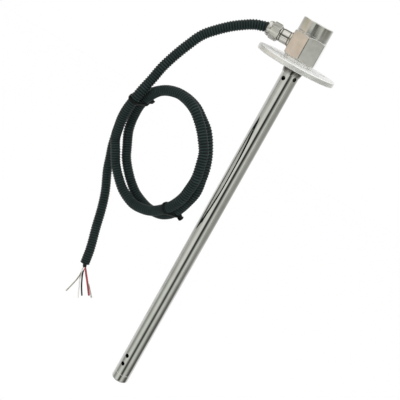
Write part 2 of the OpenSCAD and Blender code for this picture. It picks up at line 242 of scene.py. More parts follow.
# %% Steel, nickel and their kin
# Places on the part, in millimetres
TUBE_SKIN_R = 7.85  # what is nearer to the axis is the tube's bore
SEAM_Z, SEAM_HALF = -328.1, 0.3
SHOULDER_TOP_Z = 6.95  # the housing's round shoulder ends here
GLAND_Z = 18.5  # height of the gland's axis
SEAL_RUBBER_R = 5.2  # the bonded seal's rubber ring ends here
NUT_X = -26.2  # the nut's flats begin here
PAINTED_SHADE_X = -27, -15  # stretch of the gland where shade is painted into its grooves
LATHE_FEED = 0.5  # from one turned ring of the flange to the next
SHADE_UNDER_FLANGE_Z = -4.8, -0.8  # the collar's painted shade under the flange comes up over this height


def drawn_steel():
    """Polished stainless tube: fine lines along it, a rough bore painted dark as shade, and a matt seam at
    the tip ring painted light as a highlight.
    """
    material, tree, shader = new_finish("polished_drawn_steel", "#C9CAC5", 0.06, 1.0)
    where = place_of(tree)
    grain = speckle(tree, place_of(tree, (1, 1, 0.02)), 0.35)
    # Painted shade: the bore, nearer to the axis than the skin, is painted near black.
    inside = calc(tree, "LESS_THAN", from_axis(tree, where, (1, 1, 0)), TUBE_SKIN_R * MM)
    seam = calc(tree, "COMPARE", part_of(tree, where, 2), SEAM_Z * MM, SEAM_HALF * MM)
    matt = calc(tree, "MAXIMUM", inside, seam)
    steel = blend(tree, spread(tree, speckle(tree, where, 14)), "#C2C3BE", "#CFD0CC")
    # Painted highlight: the seam at the tip ring is painted near white, for the light its groove catches.
    steel_with_seam_highlight = blend(tree, seam, steel, "#EFEFEC")
    feed(shader, Base_Color=blend(tree, inside, steel_with_seam_highlight, "#262624"),
         Roughness=calc(tree, "MULTIPLY_ADD", matt, 0.5, spread(tree, grain, 0.04, 0.09)))
    relief(shader, grain, 0.002, 0.4)
    return material


def turned_steel():
    """Stainless disc: a turned rim, and faces with a matt skin that scatters half of the light."""
    material, tree, shader = new_finish("satin_turned_steel", "#EAEAE8", 0.5, 1.0)
    where = place_of(tree)
    cloud = speckle(tree, where, 9)
    up = part_of(tree, add_node(tree, "ShaderNodeNewGeometry").outputs["Normal"], 2)
    face = calc(tree, "GREATER_THAN", calc(tree, "ABSOLUTE", up), 0.8)
    rim = blend(tree, spread(tree, cloud), "#ECECEA", "#F5F5F3")
    feed(shader, Base_Color=blend(tree, face, rim, "#F5F5F4"),
         Roughness=spread(tree, cloud, 0.44, 0.56),
         Metallic=calc(tree, "MULTIPLY_ADD", face, -0.5, 1.0))
    rings = add_node(tree, "ShaderNodeTexWave", {
        "Vector": where, "Scale": 1 / (20 * LATHE_FEED * MM), "Distortion": 0.6, "Detail": 2.0},
        wave_type="RINGS", rings_direction="Z")
    relief(shader, rings.outputs[1], 0.003, 0.2)
    return material


def bar_steel():
    """Bright hexagonal bar, ground flats and a turned cap: a mirror with a trace of grain, and a shoulder
    painted near white as a reflection.
    """
    material, tree, shader = new_finish("bright_hexagonal_bar", "#C6C5C1", 0.08, 1.0)
    where = place_of(tree)
    grain = speckle(tree, place_of(tree, (1, 1, 0.05)), 0.5)
    # Painted reflection: the round shoulder is painted near white and rougher, for the bright flange it
    # mirrors.
    painted_shoulder_reflection = calc(tree, "LESS_THAN", part_of(tree, where, 2), SHOULDER_TOP_Z * MM)
    ground = blend(tree, spread(tree, speckle(tree, where, 6)), "#BFBEBA", "#CBCAC6")
    feed(shader, Base_Color=blend(tree, painted_shoulder_reflection, ground, "#F2F2EF"),
         Roughness=calc(tree, "MULTIPLY_ADD", painted_shoulder_reflection, 0.45, spread(tree, grain, 0.06, 0.11)))
    relief(shader, grain, 0.002, 0.4)
    return material


def plated_nickel():
    """Nickel plated brass: a little warmer than steel, with soft lines along its axis and painted shade in
    its grooves.
    """
    material, tree, shader = new_finish("plated_nickel", "#D3D1CB", 0.09, 1.0)
    where = place_of(tree)
    x = part_of(tree, where, 0)
    cloud = speckle(tree, where, 3)
    clean = blend(tree, spread(tree, cloud), "#CBC9C2", "#D9D8D3")
    # The nut's flats are ground along its length, and fine dark lines stay in them.
    lines = spread(tree, speckle(tree, place_of(tree, (0.06, 1, 1)), 0.9, 2.0), 0.0, 0.9)
    on_nut = calc(tree, "LESS_THAN", x, NUT_X * MM)
    ground = blend(tree, calc(tree, "MULTIPLY", on_nut, lines), clean, "#93928D")
    # Painted shade: dark bands stand in for the shade in the groove beside the nut, at the nut's shoulder
    # and where the body meets the seal.
    low, high = PAINTED_SHADE_X
    painted_groove_shade = add_node(tree, "ShaderNodeValToRGB", {0: spread(tree, x, start=low * MM, end=high * MM)})
    ramp = painted_groove_shade.color_ramp
    for from_x, to_x, grey in ((-25.5, -25.1, 0.75), (-24.3, -23.2, 0.8), (-16.7, -16.0, 0.8)):
        for at, level in ((from_x - 0.2, 0.0), (from_x, grey), (to_x, grey), (to_x + 0.2, 0.0)):
            ramp.elements.new((at - low) / (high - low)).color = (level, level, level, 1)
    ramp.elements[0].color = ramp.elements[-1].color = (0, 0, 0, 1)
    feed(shader, Base_Color=blend(tree, painted_groove_shade.outputs[0], ground, "#55534C"),
         Roughness=spread(tree, cloud, 0.06, 0.13))
    relief(shader, speckle(tree, place_of(tree, (0.12, 1, 1)), 0.7, 1.0), 0.02, 0.6)
    return material


def plain_metal(name, colour, low, high, metallic=1.0):
    """A plain metal whose shine varies a little from spot to spot."""
    material, tree, shader = new_finish(name, colour, high, metallic)
    feed(shader, Roughness=spread(tree, speckle(tree, place_of(tree), 2), low, high))
    return material


def bonded_seal():
    """A bonded seal: a zinc plated washer outside, which holds a rubber ring inside."""
    material, tree, shader = new_finish("bonded_seal_washer", "#C4BFB4", 0.16, 1.0)
    down = add_node(tree, "ShaderNodeMapping", {
        "Vector": place_of(tree), "Location": (0, 0, -GLAND_Z * MM)})
    metal = calc(tree, "GREATER_THAN", from_axis(tree, down.outputs[0], (0, 1, 1)), SEAL_RUBBER_R * MM)
    feed(shader, Metallic=metal, Base_Color=blend(tree, metal, "#1A1B1A", "#C4BFB4"))
    return material


def tinned_braid():
    """Tinned copper strands of the screen, dulled by handling."""
    material, tree, shader = new_finish("tinned_screen_strands", "#A9A79C", 0.45, 0.5)
    dull = spread(tree, speckle(tree, place_of(tree), 2.2))
    feed(shader, Base_Color=blend(tree, dull, "#8E8B7D", "#C6C3B4"))
    return material


def collar_painted_shade_steel():
    """The collar under the flange: polished at its foot, rougher and painted dark above, as shade under the
    flange.
    """
    material, tree, shader = new_finish("collar_steel_with_painted_shade", "#C9CAC5", 0.1, 1.0)
    where = place_of(tree)
    spots = speckle(tree, where, 2.2, 2.0)
    edge = calc(tree, "MULTIPLY_ADD", spots, 6 * MM, part_of(tree, where, 2))
    low, high = SHADE_UNDER_FLANGE_Z
    # Painted shade: the collar darkens in patches toward the flange above it.
    painted_shade = spread(tree, edge, start=low * MM, end=high * MM)
    feed(shader, Base_Color=blend(tree, painted_shade, "#C9CAC5", "#62605B"),
         Roughness=calc(tree, "MULTIPLY_ADD", painted_shade, 0.12, 0.08))
    relief(shader, spots, 0.05, 0.6)
    return material


# %% Plastics and rubber
GRIT, GRIT_DEPTH = 1.5, 0.01  # of moulded plastic, in millimetres


def moulded(name, dark, light, rough_low, rough_high, specular=0.5):
    """A moulded or extruded plastic: two close colours, a satin skin and a fine grit."""
    material, tree, shader = new_finish(name, light, rough_high, Specular_IOR_Level=specular)
    where = place_of(tree)
    grit = speckle(tree, where, GRIT, 4.0)
    feed(shader, Base_Color=blend(tree, spread(tree, grit), dark, light),
         Roughness=spread(tree, speckle(tree, where, GRIT * 6), rough_low, rough_high))
    relief(shader, grit, GRIT_DEPTH, 0.5)
    return material


def ribbed_polyamide():
    """Black polyamide conduit: the crests of the ribs are painted lighter as a sheen, varying at random,
    and the valleys stay dark as painted shade.
    """
    material, tree, shader = new_finish("polyamide_conduit", "#141C1B", 0.5, Specular_IOR_Level=0.13)
    where = place_of(tree)
    crest = add_node(tree, "ShaderNodeAttribute", attribute_name="crest").outputs["Fac"]
    # Painted sheen and shade: crests lighter, dimmed at random along the conduit, valleys dark.
    painted_crest_sheen = calc(tree, "MULTIPLY", crest, spread(tree, speckle(tree, where, 7), 0.55, 1.0))
    feed(shader, Base_Color=blend(tree, painted_crest_sheen, "#0F1919", "#2B3C3A"),
         Roughness=spread(tree, speckle(tree, where, 3), 0.36, 0.52))
    relief(shader, speckle(tree, where, 0.8, 4.0), 0.01, 0.5)
    return material


FINISHES = {
    "tube_steel": drawn_steel(),
    "flange_steel": turned_steel(),
    "housing_steel": bar_steel(),
    "gland_nickel": plated_nickel(),
    "nickel_parts": plain_metal("zinc_plated_steel", "#B4B3AE", 0.24, 0.38),
    "pillar_brass": plain_metal("turned_brass", "#C9A65A", 0.2, 0.32),
    "white_insulator": moulded("machined_fluoropolymer", "#DEDEDA", "#EDEDEA", 0.4, 0.55),
    "seal_rubber": moulded("nitrile_rubber", "#131413", "#1E1F1E", 0.55, 0.7),
    "board_green": moulded("solder_mask", "#114A2B", "#185C37", 0.25, 0.35),
    "component_black": moulded("epoxy_moulding", "#181818", "#242424", 0.45, 0.6),
    "conduit_black": ribbed_polyamide(),
    "jacket_black": moulded("rubber_cable_jacket", "#111313", "#1B1E1E", 0.45, 0.6, specular=0.25),
    "tie_black": moulded("polyamide_tie", "#090D0D", "#111717", 0.4, 0.55, specular=0.12),
    "insulation_red": moulded("red_wire_insulation", "#93303B", "#B0414C", 0.35, 0.5),
    "insulation_black": moulded("black_wire_insulation", "#0D0E0F", "#16181A", 0.35, 0.5, specular=0.15),
    "insulation_white": moulded("white_wire_insulation", "#E4E2DE", "#F4F3F0", 0.35, 0.5),
    "tinned_copper": tinned_braid(),
}
print("finishes:", len(FINISHES))


# %% A piece
def dress(mesh, material):
    """Gives a mesh one material."""
    mesh.materials.clear()
    mesh.materials.append(material)


def new_piece(name, mesh, slot, replaced=(), finish=None):
    """Dresses a mesh and puts it in the scene at the origin, riding on the one body."""
    mesh.name = name
    dress(mesh, finish or FINISHES[slot])
    piece = in_scene(name, mesh)
    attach(piece, "root")
    if replaced:
        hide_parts(*replaced)
    print(name, "faces:", len(mesh.polygons))
    return piece


# %% [markdown]
# ## The conduit's line
#
# The CAD model sweeps a plain tube along a few dozen points. The same points, in metres, give
# the line here, and a smooth curve through them replaces the straight steps.

# %% Route of the conduit
CONDUIT_D = 9.4 * MM
ROUTE_MM = [
    (-31, 0, 18.5), (-34, 0, 18.5), (-38, 0, 18.2), (-42, 0, 17), (-48, 0, 15), (-55, 0, 11),
    (-65, -1, 4), (-75, -2, -5), (-84, -3, -15), (-90, -5, -27), (-96, -6, -41), (-101, -8, -56),
    (-104, -8, -69), (-107, -9, -81), (-110, -8, -94), (-113, -4, -109), (-113, 0, -123), (-112, 5, -136),
    (-107, 6, -146), (-101, 6, -157), (-93, 5, -166), (-82, 1, -174), (-68, -5, -178), (-57, -11, -176),
    (-48, -16, -172), (-40, -22, -165), (-32, -29, -155), (-26, -35, -142), (-24, -38, -131),
    (-23, -41, -119), (-25, -42, -107), (-28, -42, -96), (-34, -41, -87), (-41, -39, -79),
    (-54, -35, -69), (-69, -26, -66), (-80, -19, -68), (-90, -12, -73), (-97, -5, -80), (-103, 1, -90),
    (-106, 5, -99), (-107, 8, -108), (-107, 10, -116), (-105, 11, -127), (-101, 13, -138),
    (-96, 13, -149), (-89, 12, -158), (-81, 11, -166), (-72, 8, -172), (-62, 4, -175), (-53, 0, -176),
    (-41, -7, -173), (-32, -14, -166), (-26, -19, -157), (-22, -23, -146), (-19, -27, -133),
    (-20, -30, -120), (-22, -31, -108), (-27, -31, -95), (-36, -28, -82), (-46, -24, -75),
    (-55, -20, -70), (-67, -13, -68), (-79, -7, -69), (-91, 1, -74), (-103, 11, -84), (-111, 16, -94),
    (-118, 24, -107), (-121, 30, -122), (-120, 33, -136), (-118, 34, -150), (-115, 35, -162),
    (-111, 34, -175), (-103, 32, -193), (-98, 31, -210), (-94, 30, -229), (-89, 28, -249),
    (-87, 28, -265)]


def smooth_line(points_mm, step=2.0 * MM):
    """A smooth curve through the points, as evenly spaced points in metres."""
    given = [Vector(p) * MM for p in points_mm]
    padded = [2 * given[0] - given[1], *given, 2 * given[-1] - given[-2]]
    fine = []
    for a, b, c, d in zip(padded, padded[1:], padded[2:], padded[3:]):
        for i in range(24):
            t = i / 24
            fine.append(0.5 * (2 * b + (c - a) * t + (2 * a - 5 * b + 4 * c - d) * t * t
                               + (3 * b - a - 3 * c + d) * t ** 3))
    fine.append(given[-1])
    for _ in range(6):  # evens out the bends between the points
        inner = [(p + q + r) / 3 for p, q, r in zip(fine[1:], fine[2:], fine[3:])]
        fine = [fine[0], fine[1], *inner, fine[-1]]
    length = sum((b - a).length for a, b in zip(fine, fine[1:]))
    count = max(2, round(length / step))
    even, run, target = [fine[0]], 0.0, length / count
    for a, b in zip(fine, fine[1:]):
        span = (b - a).length
        while run + span >= target and len(even) < count:
            even.append(a.lerp(b, (target - run) / span))
            target += length / count
        run += span
    return [*even, fine[-1]], length


conduit_line, conduit_length = smooth_line(ROUTE_MM)
print("conduit: %.0f mm long, %d points" % (conduit_length / MM, len(conduit_line)))

# %% [markdown]
# ## The ribbed conduit
#
# Corrugated conduit has a rib every two or three millimetres, and a slit along one side that
# lets it snap over a cable. Ribs that follow a path are a job for Geometry Nodes: the line is
# resampled a few points to a rib, the radius swings between valley and crest, and a circle with
# a notch for the slit is swept along it.


# %% Geometry Nodes: a ribbed tube
RINGS_PER_RIB = 8.0
TUBE_SIDES = 20


def new_tree(name, *sizes):
    """An empty Geometry Nodes tree with a geometry in and out, and a number for each named size."""
    tree = bpy.data.node_groups.new(name, "GeometryNodeTree")
    tree.interface.new_socket("Geometry", in_out="INPUT", socket_type="NodeSocketGeometry")
    for size in sizes:
        tree.interface.new_socket(size, in_out="INPUT", socket_type="NodeSocketFloat")
    tree.interface.new_socket("Geometry", in_out="OUTPUT", socket_type="NodeSocketGeometry")
    return tree, add_node(tree, "NodeGroupInput").outputs


def geometry(tree, kind, inputs=None, **settings):
    """One step of a Geometry Nodes tree. Returns its first output."""
    return add_node(tree, "GeometryNode" + kind, inputs, **settings).outputs[0]


def ribbed_tube_tree():
    """Sweeps a ribbed, slit tube along a curve."""
    tree, given = new_tree("ribbed_tube", "Radius", "Rib pitch", "Rib depth", "Slit depth")
    pitch = given["Rib pitch"]
    line = geometry(tree, "ResampleCurve", {
        "Curve": given["Geometry"], "Length": calc(tree, "DIVIDE", pitch, RINGS_PER_RIB)}, mode="LENGTH")
    run = add_node(tree, "GeometryNodeSplineParameter").outputs["Length"]
    turn = calc(tree, "MULTIPLY", calc(tree, "DIVIDE", run, pitch), 2 * pi)
    # The wave is clipped at 0 and 1, so crests and valleys are flat.
    wave = calc(tree, "MULTIPLY", calc(tree, "COSINE", turn), 0.9)
    crest = calc(tree, "ADD", wave, 0.45, use_clamp=True)
    drop = calc(tree, "MULTIPLY", calc(tree, "SUBTRACT", 1.0, crest), given["Rib depth"])
    marked = geometry(tree, "StoreNamedAttribute", {
        "Geometry": line, "Name": "crest", "Value": crest}, data_type="FLOAT", domain="POINT")
    circle = geometry(tree, "CurvePrimitiveCircle", {"Resolution": TUBE_SIDES, "Radius": 1.0})
    first = calc(tree, "LESS_THAN", geometry(tree, "InputIndex"), 0.5)
    notch = calc(tree, "MULTIPLY", first, given["Slit depth"])
    scaled = add_node(tree, "ShaderNodeVectorMath", {
        0: geometry(tree, "InputPosition"), "Scale": calc(tree, "SUBTRACT", 1.0, notch)}, operation="SCALE")
    profile = geometry(tree, "SetPosition", {"Geometry": circle, "Position": scaled.outputs[0]})
    tube = geometry(tree, "CurveToMesh", {
        "Curve": marked, "Profile Curve": profile, "Fill Caps": True,
        "Scale": calc(tree, "SUBTRACT", given["Radius"], drop)})
    smooth = geometry(tree, "SetShadeSmooth", {"Geometry": tube})
    add_node(tree, "NodeGroupOutput", {"Geometry": smooth})
    return tree


def run_along(points, tree, sizes):
    """Runs a Geometry Nodes tree, its named sizes set, on a line of points. Returns a plain mesh."""
    data = bpy.data.curves.new("line", "CURVE")
    data.dimensions = "3D"
    spline = data.splines.new("POLY")
    spline.points.add(len(points) - 1)
    for point, place in zip(spline.points, points):
        point.co = (*place, 1.0)
    line = in_scene("line", data)
    modifier = line.modifiers.new("nodes", "NODES")
    modifier.node_group = tree
    for item in tree.interface.items_tree:
        if item.in_out == "INPUT" and item.name in sizes:
            modifier[item.identifier] = sizes[item.name]
    return applied(line)


def open_ends(mesh, wall, depth):
    """Sinks a bore into each cut end of a closed tube."""
    shape = bmesh.new()
    shape.from_mesh(mesh)
    for cap in [face for face in shape.faces if len(face.verts) > 4]:
        way = -cap.normal
        bmesh.ops.inset_region(shape, faces=[cap], thickness=wall)
        bottom = bmesh.ops.extrude_discrete_faces(shape, faces=[cap])["faces"][0]
        bmesh.ops.translate(shape, verts=bottom.verts, vec=way * depth)
        for face in [bottom, *{f for edge in bottom.edges for f in edge.link_faces}]:
            face.smooth = False
    shape.to_mesh(mesh)
    shape.free()


# %% Conduit
# Both ends are cut through a crest, so the pitch divides the length.
RIB_PITCH = conduit_length / round(conduit_length / (2.4 * MM))  # as close to 2.4 mm as fits
RIB_DEPTH = 0.62 * MM
SLIT_DEPTH = 0.06  # as a share of the radius
CONDUIT_WALL, BORE_DEPTH = 1.2 * MM, 5 * MM

conduit_mesh = run_along(conduit_line, ribbed_tube_tree(), {
    "Radius": CONDUIT_D / 2, "Rib pitch": RIB_PITCH, "Rib depth": RIB_DEPTH, "Slit depth": SLIT_DEPTH})
open_ends(conduit_mesh, CONDUIT_WALL, BORE_DEPTH)
conduit = new_piece("conduit_ribbed", conduit_mesh, "conduit_black", ["conduit"])

# %% [markdown]
# ## Wires and the jacket's end
#
# Plain round tubes along short smooth lines. The jacket ends in a square cut, and the wires
# fan out from it. The red one has a few millimetres of bare strands at its tip.


# %% Round tubes
def heading(line, i, closed=False):
    """The direction of a line at its point i."""
    if closed:
        return (line[(i + 1) % len(line)] - line[i - 1]).normalized()
    return (line[min(i + 1, len(line) - 1)] - line[max(i - 1, 0)]).normalized()


def tube_mesh(line, diameter_mm, sides=12):
    """A closed round tube along a line, with its ends a little rounded."""
    rings, normal, radius = [], None, diameter_mm / 2 * MM
    inset = min(0.35 * radius, 0.3 * MM)
    for i, place in enumerate(line):
        tangent = heading(line, i)
        normal = (normal - tangent * normal.dot(tangent) if normal else tangent.orthogonal()).normalized()
        side = tangent.cross(normal)
        size = radius - inset if i in (0, len(line) - 1) else radius
        rings.append([place + size * (cos(a) * normal + sin(a) * side)
                      for a in (2 * pi * k / sides for k in range(sides))])
    return skin(rings, sharp_angle=60)


def joined(meshes):
    """One mesh of several."""
    shape = bmesh.new()
    for mesh in meshes:
        shape.from_mesh(mesh)
        bpy.data.meshes.remove(mesh)
    return mesh_of(shape)


def twisted_strands(line, count, lay_mm, reach_mm, strand_mm, splay_mm=0.0):
    """Round strands wound about a line. They splay toward its end."""
    step = (line[1] - line[0]).length / MM
    meshes = []
    for k in range(count):
        points = []
        for i, place in enumerate(line):
            tangent = heading(line, i)
            side = tangent.cross(Vector((0, 1, 0))).normalized()
            other = tangent.cross(side)
            turn = 2 * pi * (i * step / lay_mm + k / count)
            splay = splay_mm * (i / (len(line) - 1)) ** 2 * (0.5 + 0.5 * cos(2.4 * k))
            out = cos(turn) * side + sin(turn) * other
            points.append(place + (reach_mm + splay) * MM * out)
        meshes.append(tube_mesh(points, strand_mm, 8))
    return joined(meshes)


def hang(name, mesh, slot, *replaced):
    """Adds a piece that goes with the cord."""
    new_piece(name, mesh, slot, replaced)


# %% Wires
JACKET_FOOT = Vector((-85.4, 28, -269))
JACKET_AIM = Vector((1.6, 0, -4)).normalized()
CABLE_END = (-87, 28, -265)
JACKET_D = 3.8
SCREEN_STRAND_D, BARE_STRAND_D = 0.72, 0.26


def wire_line(a, b, points):
    """A wire's points: straight out of the jacket's cut face, then on through the given points."""
    sideways = Vector((0, 1, 0)).cross(JACKET_AIM)
    start = JACKET_FOOT + a * sideways + Vector((0, b, 0))
    return [start - 0.5 * JACKET_AIM, start + 0.8 * JACKET_AIM, *map(Vector, points)]


WIRES = {
    "wire_red": (2.1, "insulation_red", wire_line(
        -0.8, -0.2, [(-82.4, 27.2, -271.6), (-80.1, 27, -274.8), (-77, 26.8, -278.8), (-73.6, 26.5, -283.4),
                     (-69.4, 26, -289.2), (-67.9, 26, -291.4)])),
    "wire_black": (1.5, "insulation_black", wire_line(
        0.3, 0.8, [(-84.9, 28.9, -273.5), (-83.6, 27.6, -276.9), (-81.6, 26.6, -281.2),
                   (-78.5, 25.6, -287.2), (-73.8, 25, -295)])),
    "wire_white": (1.4, "insulation_white", wire_line(
        0.1, -0.9, [(-85.5, 27.9, -271.9), (-86.1, 29.3, -275.2), (-85.4, 30.8, -279.4),
                    (-84.8, 31.6, -283.9), (-82.1, 32, -290.6), (-79.8, 32, -296.3), (-77.3, 32, -301.9)])),
}
SCREEN = wire_line(1.1, 0, [(-86.3, 29.2, -273.4), (-86.1, 29.4, -279.2), (-86.9, 29.6, -285.5),
                            (-88.9, 30, -293.7), (-91, 30, -301.4)])
RED_TIP = [(-73.5, 25.2, -280.6), (-70.2, 25, -284.4), (-67.1, 25.3, -288.5), (-64.7, 26, -292)]

for name, (diameter, slot, points) in WIRES.items():
    hang(name + "_drawn", tube_mesh(smooth_line(points, 0.8 * MM)[0], diameter), slot, name)
screen = twisted_strands(smooth_line(SCREEN, 0.5 * MM)[0], count=3, lay_mm=4.2, reach_mm=0.36,
                         strand_mm=SCREEN_STRAND_D)
hang("wire_screen_drawn", screen, "tinned_copper", "wire_screen")
bare_tip = twisted_strands(smooth_line(RED_TIP, 0.4 * MM)[0], count=6, lay_mm=9, reach_mm=0.36,
                           strand_mm=BARE_STRAND_D, splay_mm=0.4)
hang("red_wire_strands", bare_tip, "tinned_copper")
jacket = tube_mesh(smooth_line([CABLE_END, JACKET_FOOT], 0.8 * MM)[0], JACKET_D, sides=24)
hang("jacket_cut_end", jacket, "jacket_black", "jacket_end")

# %% [markdown]
# ## Cable ties
#
# A cable tie is a toothed nylon strap that runs back through its own small head, where a pawl holds
# the teeth, and its tail is cut off close. Pulled tight, the strap takes the shape of a rubber
# band stretched round the strands: the convex outline of their sections in the tie's plane. The
# teeth repeat along the strap's inner face, so Geometry Nodes sets them.


# %% Geometry Nodes: ratchet teeth
def teeth_tree():
    """Sets three-sided teeth across a strap's inner line."""
    tree, given = new_tree("ratchet_teeth", "Tooth pitch", "Tooth height", "Tooth width")
    line = geometry(tree, "ResampleCurve", {
        "Curve": given["Geometry"], "Length": given["Tooth pitch"]}, mode="LENGTH")
    level = geometry(tree, "SetCurveNormal", {"Curve": line}, mode="Z_UP")
    points = add_node(tree, "GeometryNodeCurveToPoints", {"Curve": level}, mode="EVALUATED").outputs
    prism = geometry(tree, "MeshCylinder", {
        "Vertices": 3, "Radius": given["Tooth height"], "Depth": given["Tooth width"]})
    lying = geometry(tree, "Transform", {"Geometry": prism, "Rotation": (pi / 2, 0, 0)})
    teeth = geometry(tree, "InstanceOnPoints", {
        "Points": points["Points"], "Instance": lying, "Rotation": points["Rotation"]})
    add_node(tree, "NodeGroupOutput", {"Geometry": geometry(tree, "RealizeInstances", {"Geometry": teeth})})
    return tree


# %% Strap, head and tail, in millimetres
STRAP_W, STRAP_T = 2.5, 0.9
STRAP_GAP, STRAP_PLAY = 0.15, 0.15  # off the ribs, and in the hollow of the head
STRAP_OFF = CONDUIT_D / MM / 2 + STRAP_GAP + STRAP_T / 2  # from a strand's middle to the strap's
HEAD_WALL, HEAD_EDGE = 0.55, 0.3
MOUTH_INSET, MOUTH_HALF = 0.85, 1.2  # where the loop runs past the head
TAIL_OUT = 1.1
LOOP_STEP = 0.6
TIE_REACH = 22  # strands further from the tie's middle aren't its own
UP = Vector((0, 0, 1))
TEETH_TREE = teeth_tree()
TEETH = {"Tooth pitch": 1.1 * MM, "Tooth height": 0.26 * MM, "Tooth width": 1.6 * MM}


def around(points):
    """The convex outline of flat points, counter-clockwise."""
    points = sorted(points)
    halves = []
    for run in (points, points[::-1]):
        half = []
        for p in run:
            while len(half) > 1 and ((half[-1][0] - half[-2][0]) * (p[1] - half[-2][1])
                                     - (half[-1][1] - half[-2][1]) * (p[0] - half[-2][0])) <= 0:
                half.pop()
            half.append(p)
        halves.append(half[:-1])
    return halves[0] + halves[1]


def evened(loop, step):
    """Evenly spaced points round a closed flat loop."""
    loop = [Vector((*p, 0)) for p in loop]
    spans = [(b - a).length for a, b in zip(loop, loop[1:] + loop[:1])]
    count = round(sum(spans) / step)
    even, run, k = [], 0.0, 0
    for i in range(count):
        target = i * sum(spans) / count
        while run + spans[k] < target:
            run += spans[k]
            k += 1
        even.append(loop[k].lerp(loop[(k + 1) % len(loop)], (target - run) / spans[k]))
    return even


def squared(a, b, power, sides):
    """A rectangle with soft corners, a and b from its middle to its sides."""
    turns = [2 * pi * (k + 0.5) / sides for k in range(sides)]
    return [(a * copysign(abs(cos(t)) ** (2 / power), cos(t)),
             b * copysign(abs(sin(t)) ** (2 / power), sin(t))) for t in turns]


def toward(angle):
    """A flat unit vector."""
    return Vector((cos(angle), sin(angle), 0))


def section_at(place, side, sections):
    """Points of a flat section, set across its place."""
    return [(place + x * side + y * UP) * MM for x, y in sections]


def strap(line, closed):
    """A strap along a flat line, its broad side across the line's plane."""
    section = squared(STRAP_T / 2, STRAP_W / 2, 5, 20)
    sides = [heading(line, i, closed).cross(UP) for i in range(len(line))]
    return skin([section_at(p, side, section) for p, side in zip(line, sides)], closed)


def tie_strands(stand):
    """Where the conduit crosses a tie's plane, and points of the strap round each strand."""
    inward = stand.inverted()
    local = [inward @ p / MM for p in conduit_line]
    centres, outline = [], []
    for a, b in zip(local, local[1:]):
        if (a.z < 0) == (b.z < 0):
            continue
        centre, tangent = a.lerp(b, a.z / (a.z - b.z)), (b - a).normalized()
        if centre.length < TIE_REACH:
            centres.append(centre)
            for k in range(48):
                d = toward(k * pi / 24)
                outline.append(centre + STRAP_OFF / sqrt(1 - d.dot(tangent) ** 2) * d)
    return centres, outline


def cable_tie(name, place, tilt, head_turn, head_at, head_size):
    """A tie pulled tight round the strands that cross its plane."""
    rx, ry = map(radians, tilt)
    turned = Matrix.Rotation(ry, 4, "Y") @ Matrix.Rotation(rx, 4, "X")
    stand = Matrix.Translation(Vector(place) * MM) @ turned
    centres, outline = tie_strands(stand)
    u = toward(radians(head_turn))
    v = UP.cross(u)
    half_u, half_v, half_z = (size / 2 for size in head_size)
    head = max(centres, key=lambda centre: centre.y) + head_at * u
    foot = head - (half_u - MOUTH_INSET) * u
    outline += [foot - MOUTH_HALF * v, foot + MOUTH_HALF * v]
    loop = evened(around([p.to_2d().to_tuple() for p in outline]), LOOP_STEP)
    inner = [(p - STRAP_T / 2 * heading(loop, i, True).cross(UP)) * MM for i, p in enumerate(loop)]
    rings = [section_at(head + at * v, u, squared(half_u - inset, half_z - inset, 7, 40))
             for at, inset in ((-half_v, HEAD_EDGE), (HEAD_EDGE - half_v, 0), (half_v - HEAD_EDGE, 0),
                               (half_v, HEAD_EDGE))]
    hollow = squared(half_u - HEAD_WALL, STRAP_W / 2 + STRAP_PLAY, 9, 40)
    rings += [section_at(head + at * v, u, hollow) for at in (half_v, -half_v)]
    out = head + (half_u - HEAD_WALL - STRAP_T / 2) * u
    tail = [out + t * v for t in (-half_v + 0.4, 0, half_v, half_v + 0.6, half_v + TAIL_OUT)]
    whole = joined([strap(loop, True), strap(tail, False), skin(rings, True),
                    run_along(inner, TEETH_TREE, TEETH)])
    whole.transform(stand)
    print(name, "goes round", len(centres), "strands")
    hang(name + "_drawn", whole, "tie_black", name)


cable_tie("tie_upper", place=(-107, 2, -91), tilt=(18, 18), head_turn=-20, head_at=8.7,
          head_size=(3.1, 3.6, 3.5))
cable_tie("tie_lower", place=(-30.5, -21, -159), tilt=(30, 40), head_turn=10, head_at=6.9,
          head_size=(4.2, 3.7, 3.7))

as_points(conduit_line)

# %% Materials on the CAD nodes
slot_of = {s["node"]: s["material_slot"] for s in frame["record"]["subparts"]}
# Painted shade: the parts inside the housing and the tube are near black, for the shade in those hollows.
inner_parts_painted_dark = moulded("fluoropolymer_painted_dark_as_shade", "#1C1813", "#2A241C", 0.5, 0.7)
OWN_FINISH = {
    "gland_seal": bonded_seal(), "tube_collar": collar_painted_shade_steel(),
    "inner_electrode": plain_metal("electrode_painted_dark_as_shade", "#2A2927", 0.42, 0.6, 0.8),
    "feedthrough_bush": inner_parts_painted_dark, "tip_spacer": inner_parts_painted_dark, "lower_spacer": inner_parts_painted_dark}
finish_of = {name: OWN_FINISH.get(name, FINISHES[slot]) for name, slot in slot_of.items()}

for name, node in frame["nodes"].items():
    dress(node.data, finish_of[name])
print("dressed:", len(slot_of), "nodes")

# %% [markdown]
# ## Broken edges
#
# No machined edge is perfectly sharp: it is broken by a tenth or two of a millimetre, and that
# narrow round catches the light. The CAD solids stay sharp, so each outer piece gets a copy whose
# edges are rounded by a Bevel modifier, and a Weighted Normal keeps its flat faces flat.


# %% Copies with rounded edges
SHARP_ANGLE = 24  # degrees between the faces at an edge that gets broken
FLAT_ANGLE = 0.2  # degrees between the triangles of one flat face


